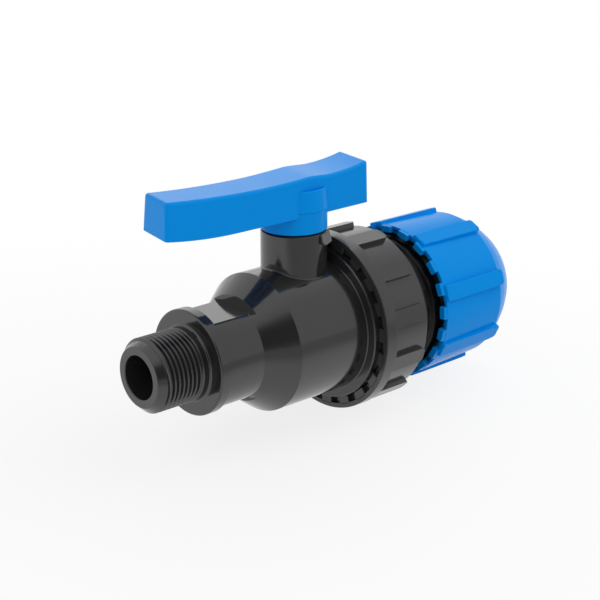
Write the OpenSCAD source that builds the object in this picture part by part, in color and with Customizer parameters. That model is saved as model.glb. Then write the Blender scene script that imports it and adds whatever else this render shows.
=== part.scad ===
// Inline ball valve with a male pipe thread, a union and a compression socket.
// The X axis is the flow axis, from the threaded spigot to the pipe socket.
// The Z axis is up, along the stem. The origin is on the flow axis at the
// collar's front face, where the threaded spigot starts. Lengths are in mm.

/* [Male thread end] */
// Radius over the crests of the male pipe thread
thread_r = 13.22; // [12:0.01:14.5]
// Length of the threaded spigot in front of the collar
spigot_len = 20.7; // [17:0.1:26]
// Length of the taper on the tip of the spigot
tip_len = 2.7; // [1:0.1:4]
// How much the taper takes off the radius at the tip
tip_drop = 2.5; // [1:0.1:3]
// Radius of the flow bore through the spigot
inlet_r = 7.8; // [6:0.1:9]

/* [Collar and wrench zone] */
// Radius of the collar that the mating socket stops against
collar_r = 19.1; // [18.9:0.1:21]
// Thickness of the collar
collar_len = 4; // [3:0.1:6]
// Rounding of the collar's front edge
collar_round = 0.75; // [0.3:0.05:1.2]
// Slope behind the collar's rear rim
collar_slope = 0.7; // [0.3:0.1:1.5]
// Radius of the round wrench zone
wrench_r = 18.05; // [17:0.05:18.5]
// Length of the wrench zone
wrench_len = 16; // [12:0.1:18]
// Half the width across the two wrench flats
flat_half = 15.55; // [14.5:0.05:16.5]
// How far the two flats run into the shoulder
flat_over = 2; // [0:0.1:4]

/* [Ball and seats] */
// Radius of the ball
ball_r = 18; // [17:0.1:20]
// Radius of the bore through the ball
ball_bore_r = 10; // [8.5:0.1:10.5]
// Radial width of a seat ring
seat_w = 3.8; // [3.4:0.1:4.2]
// Thickness of a seat ring at its inner edge
seat_t = 2; // [1.5:0.1:3]
// Gap between the ball and a seat
seat_gap = 0.2; // [0.1:0.05:0.4]
// How far a seat stands out of its pocket
seat_stand = 2.9; // [2:0.1:3.5]
// Section radius of the ring behind a seat
seat_oring_r = 1.2; // [0.9:0.05:1.3]
// Wall of the boss round the inlet seat
seat_boss_wall = 2.5; // [2:0.1:3]

/* [Body] */
// Room between the ball and the wall of the cavity
cavity_room = 2.5; // [2:0.1:4]
// Wall of the barrel at its front end
body_wall = 5.1; // [4:0.1:7]
// Growth of the barrel's radius from front to back
barrel_draft = 0.15; // [0:0.05:0.4]
// Length of the shoulder that slopes up to the barrel
shoulder_len = 10.6; // [8:0.1:12]
// Distance from the end of the shoulder to the stem axis
rim_to_stem = 19.5; // [18.5:0.1:24]
// Distance from the stem axis to the union's rear face
stem_to_face = 12.7; // [12.3:0.1:14]
// Step from the barrel up to the union thread
union_step = 3.45; // [2.5:0.05:4.5]
// Depth of the hollow beside the inlet seat boss
relief_len = 6.6; // [3:0.1:8]

/* [Seat carrier] */
// Length of the screwed carrier behind the outlet seat
carrier_len = 14; // [12:0.1:18]
// Wall between the carrier's ring groove and its spanner slots
slot_wall = 1.2; // [0.8:0.1:2]
// Width of the spanner slots in the carrier
slot_w = 5; // [3:0.1:7]
// Rim left outside the spanner slots
slot_rim = 2; // [1.5:0.1:3]
// How far the carrier sits below the body's end face
carrier_recess = 1.5; // [0.5:0.1:3]
// Section radius of the ring round the carrier
carrier_oring_r = 1.35; // [1:0.05:1.6]

/* [Neck and stem] */
// Radius of the neck
neck_r = 12.13; // [11.5:0.01:13]
// Height of the neck's top above the flow axis
neck_top = 38.7; // [37:0.1:42]
// Radius of the stem
stem_r = 6.5; // [6:0.05:7]
// Running clearance between the stem and the neck
stem_fit = 0.06; // [0.03:0.01:0.1]
// Radius of the stem's flange
flange_r = 9; // [8.6:0.1:9.6]
// Thickness of the stem's flange
flange_t = 2.6; // [2:0.1:3.2]
// How far the flange is let into the neck
flange_inset = 2; // [1.5:0.1:3]
// Thickness of the low-friction washer on the flange
washer_t = 1; // [0.6:0.1:1.5]
// Width of the tang that drives the ball
tang_w = 5.8; // [5:0.1:7]
// Length of the tang
tang_len = 13; // [11:0.1:14]
// Depth of the ball's slot below the top of the ball
tang_depth = 5; // [4:0.1:6]
// Depth of the upper ring below the neck's top
stem_ring_drop = 6; // [4.5:0.1:8]
// Distance between the stem's two rings
stem_ring_pitch = 5.2; // [3.6:0.1:6]
// Section radius of the stem's rings
stem_oring_r = 0.8; // [0.6:0.05:1]
// Width of the square on top of the stem
square_w = 9; // [8:0.1:9.1]
// Length of the square above the neck
square_len = 13.3; // [11:0.1:15]

/* [Handle stop] */
// Angle that the handle turns through
turn = 90; // [85:1:95]
// Angle taken up by the stop lug on the neck
lug_angle = 32; // [20:1:45]
// Height of the stop lug above the neck
lug_h = 2.2; // [1.5:0.1:3]
// Angle at which the stop lug starts
lug_start = -100; // [-130:1:-70]
// Wall between the stem's bore and the stop lug
lug_wall = 2.1; // [1.5:0.1:2.6]
// Angle taken up by the lug's root outside the neck
root_angle = 44; // [30:1:60]
// Height of the lug's root below the neck's top
root_h = 5.4; // [3:0.1:8]
// How far the lug's root stands out of the neck
root_out = 0.75; // [0.4:0.05:1.5]

/* [Handle] */
// Radius of the handle's hub
hub_r = 12.07; // [11.5:0.01:13]
// Gap between the neck and the hub
hub_gap = 0.5; // [0.3:0.1:1]
// Height of the parting line on the hub
hub_line_h = 8; // [6:0.1:9]
// Radius of the hub above its parting line
boss_r = 12.4; // [12.1:0.05:13.2]
// Radius of the hub's boss at its top
boss_top_r = 11.65; // [11:0.05:12.4]
// Height of the boss above the parting line
boss_h = 8.6; // [7:0.1:9]
// Reach of the handle over the threaded end
reach_front = 61.2; // [50:0.1:75]
// Reach of the handle over the socket end
reach_back = 29.6; // [25:0.1:36]
// Half the width of the handle at the hub
half_w_hub = 10.1; // [9:0.1:10.8]
// Half the width of the handle at its long end
half_w_front = 8.2; // [7:0.1:10]
// Half the width of the handle at its short end
half_w_back = 9.7; // [8:0.1:10.5]
// Draft of each side face, taken off the half width at the top
side_draft = 0.8; // [0:0.1:1.5]
// How far the long end leans out towards its foot
end_lean = 0.9; // [0:0.1:2]
// Angle of the end faces and the crest, seen from above
skew = 12; // [0:1:18]
// Height of the handle's underside above the hub's bottom
under_h = 6.4; // [5:0.1:8]
// Height of the saddle above the underside
saddle_h = 12.9; // [11:0.1:15]
// Rise of the top at the long end
rise_front = 2.3; // [1:0.1:4]
// Rise of the top at the crest
rise_crest = 1; // [0.3:0.1:2]
// Rise of the top at the short end
rise_back = 2.5; // [1:0.1:4]
// Rise of the underside at the long end
under_rise = 2.3; // [0:0.1:4]
// Wall of the hollow handle
handle_wall = 2.6; // [2:0.1:3.4]
// Thickness of the ribs under the handle
rib_t = 2; // [1.5:0.1:3]
// Number of cross ribs under the long arm
arm_ribs = 3; // [1:1:5]

/* [Union nut] */
// Clearance of the nut over the union thread
union_fit = 0.3; // [0.2:0.05:0.5]
// Gap between the union's rear face and the nut
nut_gap = 2.1; // [1:0.1:3]
// Thickness of the nut's front band over its bore
band_wall = 4.5; // [4:0.1:6]
// Length of the front band
band_len = 5.1; // [4:0.1:8]
// Wall of the nut behind its band
nut_wall = 2.6; // [2:0.1:3.4]
// Thickness of the lip that holds the connector
lip_t = 3.4; // [2.5:0.1:5]
// Number of grip ribs on the nut
nut_ribs = 12; // [6:1:16]
// Width of a grip rib
nut_rib_w = 6.3; // [4:0.1:8]
// Angle of the first grip rib above the side
nut_rib_phase = 13; // [0:1:30]
// Height of a rib at the band
nut_rib_h = 1.8; // [1:0.05:1.8]
// How much a rib falls towards its end
nut_rib_fall = 0.1; // [0:0.05:0.9]
// Rounding of a rib's corners at its rear end
nut_rib_corner = 1.8; // [0.5:0.1:1.9]
// Bare length between the ribs and the nut's rear
nut_rib_short = 1.9; // [0.5:0.1:6]
// Number of castellations in the front face
castle_n = 20; // [12:2:30]
// Width of the gap between two castellations
castle_gap = 4.6; // [3:0.1:6]
// Angle of the first gap below the side
castle_phase = 5; // [0:1:18]
// Depth of the castellations
castle_depth = 1.8; // [1:0.1:3]
// Radial width of the castellated ring
castle_w = 2.5; // [1.5:0.1:3]

/* [End connector] */
// Gap between the body and the connector
face_gap = 0.1; // [0.05:0.05:0.3]
// Thickness of the connector's flange
flange_len = 4; // [3.5:0.1:6]
// How far the nut's lip holds over the flange
lip_hold = 1.3; // [1:0.1:1.6]
// Length of the plain shank behind the flange
shank_len = 8.9; // [5:0.1:12]
// Section radius of the ring in the flange's face
face_oring_r = 1.4; // [1:0.05:1.5]
// Distance from the flange's face to the pipe stop
stop_len = 17.9; // [14:0.1:24]
// Radius of the bore up to the pipe stop
stop_bore_r = 13; // [11:0.1:14]

/* [Compression joint] */
// Radius of the pipe that the socket takes
pipe_r = 16; // [15.5:0.1:17]
// Clearance of the socket round the pipe
pipe_fit = 0.3; // [0.2:0.05:0.5]
// Length of the pipe socket
socket_len = 18; // [14:0.1:26]
// Depth of the chamber that holds the pipe seal
seal_len = 8; // [6.5:0.1:12]
// Section radius of the pipe seal
seal_r = 2; // [1.6:0.05:2.4]
// Wall of the connector round the seal chamber
seal_wall = 5.4; // [4:0.1:7]
// Thickness of the thrust ring's flange
thrust_t = 2.4; // [1.5:0.1:4]
// Length of the split grip ring
grip_len = 13.4; // [10:0.1:18]
// Wall of the grip ring at its thin end
grip_wall = 4; // [3:0.1:5]
// Fall of the grip ring's cone over its length
grip_fall = 4.4; // [3:0.1:5]
// Number of biting edges in the grip ring
grip_teeth = 5; // [3:1:8]
// Depth of a biting edge
grip_bite = 0.9; // [0.5:0.1:1.5]
// Angle of the slot in the grip ring
grip_slot = 30; // [15:1:45]

/* [Compression nut] */
// Clearance between parts that slide or turn on each other
slide_fit = 0.3; // [0.2:0.05:0.5]
// How far the nut reaches back over the connector
skirt_len = 22.9; // [18:0.1:26]
// Wall of the nut over its thread, at the front
shell_wall = 3.65; // [3:0.05:5]
// Fall of the shell's radius over its length
shell_taper = 0.8; // [0.5:0.05:2]
// Length of the plain counterbore in the front
counter_len = 1.9; // [1:0.1:3]
// Wall of the nut round the counterbore
counter_wall = 1.65; // [1.2:0.05:2]
// Thickness of the nut's end wall
end_wall = 5.8; // [4:0.1:8]
// Length of the sloping nose
nose_len = 13.9; // [9:0.1:15]
// Radius of the nose at its end
nose_r = 21; // [20.5:0.1:23]
// Number of teeth on the front edge
tooth_n = 20; // [12:2:30]
// Length of a front tooth
tooth_len = 1.8; // [1:0.1:3]
// Width of the gap between two teeth
tooth_gap = 4.6; // [3:0.1:6]
// Angle of the first tooth gap below the side
tooth_phase = 5; // [0:1:18]
// Number of grip ribs on the shell
shell_ribs = 8; // [6:1:12]
// Width of a grip rib on the shell
shell_rib_w = 6.3; // [4:0.1:9]
// Angle of the first grip rib above the side
shell_rib_phase = 18; // [0:1:45]
// Height of a rib at its front
shell_rib_h = 1.3; // [0.8:0.05:2]
// How much a rib's top falls towards its rear end
shell_rib_fall = 0.15; // [0:0.05:0.8]
// Rounding of a rib's corners at its rear end
shell_rib_corner = 1.4; // [0.5:0.1:1.9]
// Bare length in front of the ribs
shell_rib_start = 0.7; // [0.2:0.1:2]
// How far the ribs reach out over the nose
shell_rib_over = 1.1; // [0:0.1:2]

/* [Hidden] */

$fn = 96;
// Overshoot of a cutting shape past the face that it opens
over = 1;
// Gap that keeps two fixed pieces from sharing a surface
touch = 0.05;
// Radial clearance of a ring in its groove
groove_fit = 0.1;

black = [0.07, 0.07, 0.08];
grey = [0.33, 0.33, 0.34];
nut_grey = [0.38, 0.38, 0.39];
blue = [0.02, 0.36, 0.68];
white = [0.9, 0.9, 0.88];

// Radii of the body, from the ball outwards
cavity_r = ball_r + cavity_room;
barrel_r = cavity_r + body_wall;
barrel_back_r = barrel_r + barrel_draft;
union_r = barrel_back_r + union_step;

// Places along the flow axis
wrench_end = collar_len + wrench_len;
rim_x = wrench_end + shoulder_len;
stem_x = rim_x + rim_to_stem;
face_x = stem_x + stem_to_face;

// Seats, measured from the stem axis along the flow axis
seat_in_r = ball_bore_r + 0.2;
seat_out_r = seat_in_r + seat_w;
seat_face_r = ball_r + seat_gap;
seat_inner_x = sqrt(pow(seat_face_r, 2) - pow(seat_in_r, 2));
seat_outer_x = sqrt(pow(seat_face_r, 2) - pow(seat_out_r, 2));
seat_back_x = seat_inner_x + seat_t;
pocket_mouth_x = seat_outer_x + seat_stand;
pocket_r = seat_out_r + groove_fit;
pocket_floor_x = seat_back_x + touch;
seat_ring_r = (seat_in_r + seat_out_r) / 2 + 0.2;
seat_groove_len = 2 * seat_oring_r + 2 * touch;
boss_out_r = pocket_r + seat_boss_wall;

// Carrier and the end of the body
carrier_r = cavity_r - touch;
carrier_end_x = stem_x + pocket_mouth_x + carrier_len;
body_end_x = carrier_end_x + carrier_recess;
carrier_ring_x = stem_x + pocket_floor_x + seat_groove_len + 1.6 + carrier_oring_r;
carrier_ring_r = carrier_r - carrier_oring_r;

// Stem, upwards from the ball
flange_top = cavity_r + flange_inset;
flange_bottom = flange_top - flange_t;
washer_bottom = flange_top + touch;
washer_top = washer_bottom + washer_t;
slot_floor = ball_r - tang_depth;
ring_upper_z = neck_top - stem_ring_drop;
ring_lower_z = ring_upper_z - stem_ring_pitch;
stem_ring_r = stem_r - stem_oring_r;
stem_groove_len = 2 * stem_oring_r + 2 * groove_fit;
square_top = neck_top + square_len;
neck_bore_r = stem_r + stem_fit;

// Handle, upwards from the hub's bottom face
hub_bottom = neck_top + hub_gap;
hub_line = hub_bottom + hub_line_h;
boss_top = hub_line + boss_h;
under_z = hub_bottom + under_h;
saddle_z = under_z + saddle_h;
socket_top = square_top + touch;
saddle_x = -0.3 * reach_front;
crest_x = 0.06 * reach_back;
facet_x = 0.37 * reach_back;
arch_x = -0.54 * reach_front;
lug_in_r = neck_bore_r + lug_wall;
lug_out_r = neck_r - 1.3;
stop_gap = 1;

// Union nut and the connector's flange
nut_bore_r = union_r + union_fit;
nut_front_x = face_x + nut_gap;
band_r = nut_bore_r + band_wall;
nut_base_r = nut_bore_r + nut_wall;
conn_x = body_end_x + face_gap;
flange_back_x = conn_x + flange_len;
lip_x = flange_back_x + touch;
nut_back_x = lip_x + lip_t;
shank_r = union_r - lip_hold;
lip_r = shank_r + slide_fit;
shank_end_x = flange_back_x + shank_len;
face_ring_r = (cavity_r + union_r) / 2;
face_groove_len = 2 * face_oring_r + touch;

// Pipe socket, seal chamber and mouth of the connector
stop_x = conn_x + stop_len;
socket_r = pipe_r + pipe_fit;
socket_end_x = stop_x + socket_len;
mouth_x = socket_end_x + seal_len;
seal_ring_r = socket_r + 0.2 + seal_r;
chamber_r = seal_ring_r + seal_r + groove_fit;
comp_thread_r = chamber_r + seal_wall;
seal_x = socket_end_x + touch + seal_r;
thrust_x = seal_x + seal_r + groove_fit;
thrust_flange_x = mouth_x + face_gap;
thrust_end_x = thrust_flange_x + thrust_t;
thrust_flange_r = chamber_r + 1.9;

// Grip ring and the cone in the compression nut
grip_x = thrust_end_x + face_gap;
grip_end_x = grip_x + grip_len;
grip_in_r = socket_r + 0.1;
grip_end_r = grip_in_r + grip_wall;
grip_front_r = grip_end_r + grip_fall;
grip_slope = grip_fall / grip_len;
cone_gap = 0.35;
cone_end_x = grip_end_x + over;
comp_end_x = cone_end_x + end_wall;
comp_bore_r = comp_thread_r + slide_fit;
comp_front_x = mouth_x - skirt_len;
comp_counter_r = comp_bore_r + shell_wall - counter_wall;
comp_mouth_r = socket_r + 0.7;
shell_front_r = comp_bore_r + shell_wall;
shell_back_r = shell_front_r - shell_taper;
nose_x = comp_end_x - nose_len;

// Points on an arc about [cx, cr], from angle a0 to a1
function arc(cx, cr, r, a0, a1, steps) =
    [for (i = [0:steps]) let (a = a0 + (a1 - a0) * i / steps) [cx + r * cos(a), cr + r * sin(a)]];

// Radius of the cone in the compression nut at place x
function cone_r(x) = grip_front_r + cone_gap - grip_slope * (x - grip_x);

// Turns an outline of [x, r] points about the flow axis
module turned(points) {
    rotate([0, 90, 0])
        rotate_extrude()
            polygon([for (p = points) [p[1], p[0]]]);
}

// Plain ring about the flow axis
module ring_x(x0, x1, r_in, r_out) {
    turned([[x0, r_in], [x1, r_in], [x1, r_out], [x0, r_out]]);
}

// Ring of round section about the flow axis
module oring_x(x, ring_r, section_r) {
    rotate([0, 90, 0])
        rotate_extrude()
            translate([ring_r, x])
                circle(section_r, $fn = 32);
}

// Ring of round section about the stem axis
module oring_z(z, ring_r, section_r) {
    translate([stem_x, 0, z])
        rotate_extrude()
            translate([ring_r, 0])
                circle(section_r, $fn = 32);
}

// Round bar along the stem axis
module stem_bar(z0, z1, r0, r1) {
    translate([stem_x, 0, z0])
        cylinder(h = z1 - z0, r1 = r0, r2 = r1);
}

// Block centred on the stem axis
module stem_block(size_x, size_y, z0, z1) {
    translate([stem_x - size_x / 2, -size_y / 2, z0])
        cube([size_x, size_y, z1 - z0]);
}

// Wedge about the stem axis that keeps the angles a0 to a1
module stem_wedge(a0, a1, r, z0, z1) {
    steps = 4;
    translate([stem_x, 0, z0])
        linear_extrude(height = z1 - z0)
            polygon(concat([[0, 0]], [for (i = [0:steps])
                let (a = a0 + (a1 - a0) * i / steps) [r * cos(a), r * sin(a)]]));
}

// Bars across the flow axis, which cut n gaps into a ring
module cross_bars(n, x0, x1, width, reach, phase = 0) {
    for (i = [0:n / 2 - 1])
        rotate([phase + i * 360 / n, 0, 0])
            translate([x0, -reach, -width / 2])
                cube([x1 - x0, 2 * reach, width]);
}

// Bars with rounded rear corners that stand out from the flow axis, one for each rib
module rib_bars(n, x0, x1, width, corner, r_in, r_out, phase) {
    for (i = [0:n - 1])
        rotate([90 - phase - i * 360 / n, 0, 0])
            translate([0, 0, r_in])
                linear_extrude(height = r_out - r_in) {
                    translate([x0, -width / 2])
                        square([x1 - corner - x0, width]);
                    translate([x0, corner - width / 2])
                        square([x1 - x0, width - 2 * corner]);
                    for (side = [-1, 1])
                        translate([x1 - corner, side * (width / 2 - corner)])
                            circle(corner, $fn = 32);
                }
}

// Outside of the body, as one turned form
module body_outside() {
    turned(concat(
        [[-spigot_len, 0], [-spigot_len, thread_r - tip_drop], [tip_len - spigot_len, thread_r],
            [0, thread_r]],
        arc(collar_round, collar_r - collar_round, collar_round, 180, 90, 5),
        [[collar_len, collar_r], [collar_len + collar_slope, wrench_r], [wrench_end, wrench_r],
            [rim_x, barrel_r], [face_x, barrel_back_r], [face_x + 0.25, union_r - 0.4],
            [face_x + 0.65, union_r], [body_end_x - 0.8, union_r], [body_end_x, union_r - 0.8],
            [body_end_x, 0]]));
}

// Flow bore, seat pocket and cavity of the body
module body_inside() {
    floor_x = stem_x - pocket_floor_x;
    groove_x = floor_x - seat_groove_len;
    mouth = stem_x - pocket_mouth_x;
    groove_in = seat_ring_r - seat_oring_r - groove_fit;
    groove_out = seat_ring_r + seat_oring_r + groove_fit;
    turned([[-spigot_len - over, 0], [-spigot_len - over, inlet_r], [collar_len, inlet_r],
        [groove_x - over, seat_in_r], [floor_x, seat_in_r], [floor_x, groove_in],
        [groove_x, groove_in], [groove_x, groove_out], [floor_x, groove_out], [floor_x, pocket_r],
        [mouth, pocket_r], [mouth, boss_out_r], [mouth - relief_len, boss_out_r],
        [mouth - relief_len, cavity_r], [body_end_x + over, cavity_r], [body_end_x + over, 0]]);
}

// The two wrench flats, cut above and below the wrench zone
module wrench_flats() {
    cut_x = collar_len + collar_slope;
    for (side = [0, 1])
        mirror([0, 0, side])
            translate([cut_x, -wrench_r, flat_half])
                cube([wrench_len + flat_over - collar_slope, 2 * wrench_r, collar_r]);
}

// Stop lug on the neck, with its root outside the neck
module stop_lug() {
    intersection() {
        difference() {
            stem_bar(neck_top - over, neck_top + lug_h, lug_out_r, lug_out_r);
            stem_bar(neck_top - 2 * over, neck_top + 2 * lug_h, lug_in_r, lug_in_r);
        }
        stem_wedge(lug_start, lug_start + lug_angle, 2 * neck_r, neck_top - over, neck_top + lug_h);
    }
    intersection() {
        stem_bar(neck_top - root_h, neck_top, neck_r + root_out, neck_r + root_out);
        stem_wedge(lug_start + lug_angle / 2, lug_start + lug_angle / 2 + root_angle, 2 * neck_r,
            neck_top - root_h, neck_top);
    }
}

// One-piece body with the threaded spigot, the barrel, the neck and the union thread
module body() {
    color(grey)
    difference() {
        union() {
            difference() {
                body_outside();
                wrench_flats();
            }
            stem_bar(0, neck_top, neck_r, neck_r);
            stop_lug();
        }
        body_inside();
        stem_bar(0, neck_top + over + lug_h, neck_bore_r, neck_bore_r);
        stem_bar(0, washer_top + touch, flange_r + groove_fit, flange_r + groove_fit);
    }
}

// Ball with its flow bore and the slot for the stem's tang
module ball() {
    color(white)
    difference() {
        translate([stem_x, 0, 0])
            sphere(ball_r);
        ring_x(stem_x - ball_r - over, stem_x + ball_r + over, 0, ball_bore_r);
        stem_block(tang_w + 2 * groove_fit, 2 * ball_r + over, slot_floor, ball_r + over);
    }
}

// Seat ring for the side of the ball that faces -X
module seat() {
    color(white)
    difference() {
        ring_x(-seat_back_x, over - seat_outer_x, seat_in_r, seat_out_r);
        sphere(seat_face_r);
    }
}

module seat_inlet() {
    translate([stem_x, 0, 0])
        seat();
}

module seat_outlet() {
    translate([stem_x, 0, 0])
        mirror([1, 0, 0])
            seat();
}

module seat_inlet_oring() {
    color(black)
        oring_x(stem_x - pocket_floor_x - touch - seat_oring_r, seat_ring_r, seat_oring_r);
}

module seat_outlet_oring() {
    color(black)
        oring_x(stem_x + pocket_floor_x + touch + seat_oring_r, seat_ring_r, seat_oring_r);
}

// Screwed carrier that holds the outlet seat, with spanner slots
module seat_carrier() {
    front = stem_x + pocket_mouth_x;
    floor_x = stem_x + pocket_floor_x;
    groove_in = seat_ring_r - seat_oring_r - groove_fit;
    groove_out = seat_ring_r + seat_oring_r + groove_fit;
    ring_groove = carrier_oring_r + groove_fit;
    slot_x = carrier_ring_x + ring_groove + slot_wall;
    color(grey)
    difference() {
        turned([[front, pocket_r], [floor_x, pocket_r], [floor_x, groove_out],
            [floor_x + seat_groove_len, groove_out], [floor_x + seat_groove_len, groove_in],
            [floor_x, groove_in], [floor_x, seat_in_r], [carrier_end_x, seat_in_r],
            [carrier_end_x, carrier_r], [carrier_ring_x + ring_groove, carrier_r],
            [carrier_ring_x + ring_groove, carrier_ring_r - ring_groove],
            [carrier_ring_x - ring_groove, carrier_ring_r - ring_groove],
            [carrier_ring_x - ring_groove, carrier_r], [front, carrier_r]]);
        cross_bars(4, slot_x, carrier_end_x + over, slot_w, carrier_r - slot_rim);
    }
}

module carrier_oring() {
    color(black)
        oring_x(carrier_ring_x, carrier_ring_r, carrier_oring_r);
}

// Stem with its tang, flange, ring grooves and square
module stem() {
    color(grey)
    difference() {
        union() {
            intersection() {
                stem_block(tang_w, tang_len, slot_floor + touch, flange_bottom + over);
                stem_bar(slot_floor, flange_bottom + 2 * over, flange_r, flange_r);
            }
            stem_bar(flange_bottom, flange_top, flange_r, flange_r);
            stem_bar(flange_top - over, neck_top, stem_r, stem_r);
            stem_block(square_w, square_w, neck_top - over, square_top);
        }
        for (z = [ring_lower_z, ring_upper_z])
            difference() {
                stem_bar(z - stem_groove_len / 2, z + stem_groove_len / 2, stem_r + over, stem_r + over);
                stem_bar(z - over, z + over, stem_ring_r - stem_oring_r - touch,
                    stem_ring_r - stem_oring_r - touch);
            }
    }
}

// Low-friction washer between the stem's flange and the neck
module stem_washer() {
    color(white)
    difference() {
        stem_bar(washer_bottom, washer_top, flange_r, flange_r);
        stem_bar(washer_bottom - over, washer_top + over, neck_bore_r, neck_bore_r);
    }
}

module stem_oring_lower() {
    color(black)
        oring_z(ring_lower_z, stem_ring_r, stem_oring_r);
}

module stem_oring_upper() {
    color(black)
        oring_z(ring_upper_z, stem_ring_r, stem_oring_r);
}

// Height of the handle's top at place x, measured from the stem axis
function top_z(x) =
    x < saddle_x ? saddle_z + rise_front * pow((x - saddle_x) / (reach_front + saddle_x), 2)
    : x < crest_x ? saddle_z + rise_crest * pow((x - saddle_x) / (crest_x - saddle_x), 1.6)
    : x < facet_x ? saddle_z + rise_crest + (0.4 - rise_crest) * (x - crest_x) / (facet_x - crest_x)
    : saddle_z + 0.4 + (rise_back - 0.4) * pow((x - facet_x) / (reach_back - facet_x), 2);

// Height of the handle's underside at place x
function bottom_z(x) =
    x < arch_x ? under_z + under_rise * pow((x - arch_x) / (reach_front + arch_x), 2) : under_z;

// Side view of the handle, drawn in by inset, as a skewed bar across it
module side_bar(inset, open_below) {
    steps = 20;
    x0 = inset - reach_front;
    x1 = reach_back - inset;
    lean = open_below ? 0 : end_lean;
    top = [for (i = [0:steps]) let (x = x0 + (x1 - x0) * i / steps) [x, top_z(x) - inset]];
    crest = [[crest_x, top_z(crest_x) - inset], [facet_x, top_z(facet_x) - inset]];
    under = [for (i = [0:steps / 2]) let (x = x0 + (arch_x - x0) * i / (steps / 2))
        [x - lean * (1 - i / (steps / 2)), open_below ? hub_bottom : bottom_z(x)]];
    outline = concat(
        [for (p = top) if (p[0] < crest_x) p], crest, [for (p = top) if (p[0] > facet_x) p],
        [[x1, open_below ? hub_bottom : under_z]],
        [for (i = [len(under) - 1:-1:0]) under[i]]);
    rotate([0, 0, -skew])
        rotate([90, 0, 0])
            linear_extrude(height = 6 * half_w_hub, center = true)
                polygon([for (p = outline) [p[0] * cos(skew), p[1]]]);
}

// Plan view of the handle, drawn in by inset, at one height
module plan_slab(inset, draft, z) {
    margin = 4;
    front = reach_front + margin * 2;
    back = reach_back + margin * 2;
    half = [half_w_front - inset - draft, half_w_hub - inset - draft, half_w_back - inset - draft];
    translate([0, 0, z])
        linear_extrude(height = 0.01)
            polygon([[-front, -half[0]], [0, -half[1]], [back, -half[2]],
                [back, half[2]], [0, half[1]], [-front, half[0]]]);
}

// The handle's bar, drawn in by inset
module handle_bar(inset, open_below = false) {
    highest = saddle_z + max(rise_front, rise_back) + over;
    intersection() {
        side_bar(inset, open_below);
        hull() {
            plan_slab(inset, 0, hub_bottom - over);
            plan_slab(inset, side_draft, highest);
        }
    }
}

// Cross ribs and the middle rib inside the handle
module handle_ribs() {
    pitch = (reach_front - hub_r) / (arm_ribs + 1);
    intersection() {
        handle_bar(handle_wall / 2, false);
        union() {
            for (i = [1:arm_ribs])
                translate([-hub_r - i * pitch, 0, 0])
                    rotate([0, 0, -skew])
                        translate([-rib_t / 2, -2 * half_w_hub, under_z + rib_t])
                            cube([rib_t, 4 * half_w_hub, 2 * saddle_h]);
            translate([-reach_front, -rib_t / 2, under_z + rib_t])
                cube([reach_front + reach_back, rib_t, 2 * saddle_h]);
        }
    }
}

// Hollow handle with its hub, its inner ribs and the recess for the stop lug
module handle() {
    recess_r = [lug_in_r - slide_fit, lug_out_r + slide_fit];
    color(blue)
    difference() {
        union() {
            translate([stem_x, 0, 0])
                difference() {
                    handle_bar(0);
                    handle_bar(handle_wall, true);
                }
            translate([stem_x, 0, 0])
                handle_ribs();
            stem_bar(hub_bottom, hub_line, hub_r, hub_r);
            stem_bar(hub_line, boss_top, boss_r, boss_top_r);
        }
        stem_block(square_w + 2 * groove_fit, square_w + 2 * groove_fit, hub_bottom - over, socket_top);
        intersection() {
            difference() {
                stem_bar(hub_bottom - over, neck_top + lug_h + slide_fit, recess_r[1], recess_r[1]);
                stem_bar(hub_bottom - 2 * over, neck_top + 2 * lug_h, recess_r[0], recess_r[0]);
            }
            stem_wedge(lug_start - stop_gap, lug_start + lug_angle + turn + stop_gap, 2 * hub_r,
                hub_bottom - over, neck_top + lug_h + slide_fit);
        }
    }
}

// Union nut with grip ribs and a castellated front face
module union_nut() {
    rib_end_x = nut_back_x - nut_rib_short;
    rib_r = nut_base_r + nut_rib_h;
    color(nut_grey)
    difference() {
        union() {
            turned([[nut_front_x, nut_bore_r], [nut_front_x, band_r - 0.4],
                [nut_front_x + 0.25, band_r - 0.1],
                [nut_front_x + band_len, band_r], [nut_front_x + band_len + 0.1, nut_base_r + 0.1],
                [nut_back_x - 0.2, nut_base_r], [nut_back_x, nut_base_r - 0.2],
                [nut_back_x, lip_r], [lip_x, lip_r], [lip_x, nut_bore_r]]);
            intersection() {
                rib_bars(nut_ribs, nut_front_x + band_len - over, rib_end_x, nut_rib_w,
                    nut_rib_corner, nut_base_r - over, band_r + over, nut_rib_phase);
                turned([[nut_front_x + band_len - over, nut_base_r - over / 2],
                    [rib_end_x + over, nut_base_r - over / 2],
                    [rib_end_x + over, rib_r - nut_rib_fall],
                    [nut_front_x + band_len - over, rib_r]]);
            }
        }
        intersection() {
            ring_x(nut_front_x - over, nut_front_x + castle_depth, nut_bore_r - over, nut_bore_r + castle_w);
            cross_bars(castle_n, nut_front_x - over, nut_front_x + castle_depth, castle_gap, band_r,
                castle_phase);
        }
    }
}

// Connector with the flange, the shank, the outside thread and the pipe socket
module end_connector() {
    groove = face_oring_r + groove_fit;
    color(black)
    turned([[conn_x, seat_in_r], [conn_x, face_ring_r - groove],
        [conn_x + face_groove_len, face_ring_r - groove], [conn_x + face_groove_len, face_ring_r + groove],
        [conn_x, face_ring_r + groove], [conn_x, union_r], [flange_back_x, union_r],
        [flange_back_x, shank_r], [shank_end_x - 0.5, shank_r], [shank_end_x, comp_thread_r],
        [mouth_x - 1, comp_thread_r], [mouth_x, comp_thread_r - 1], [mouth_x, chamber_r],
        [socket_end_x, chamber_r], [socket_end_x, socket_r], [stop_x, socket_r], [stop_x, stop_bore_r],
        [conn_x + stop_len / 2, stop_bore_r]]);
}

module connector_oring() {
    color(black)
        oring_x(conn_x + face_oring_r, face_ring_r, face_oring_r);
}

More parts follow.
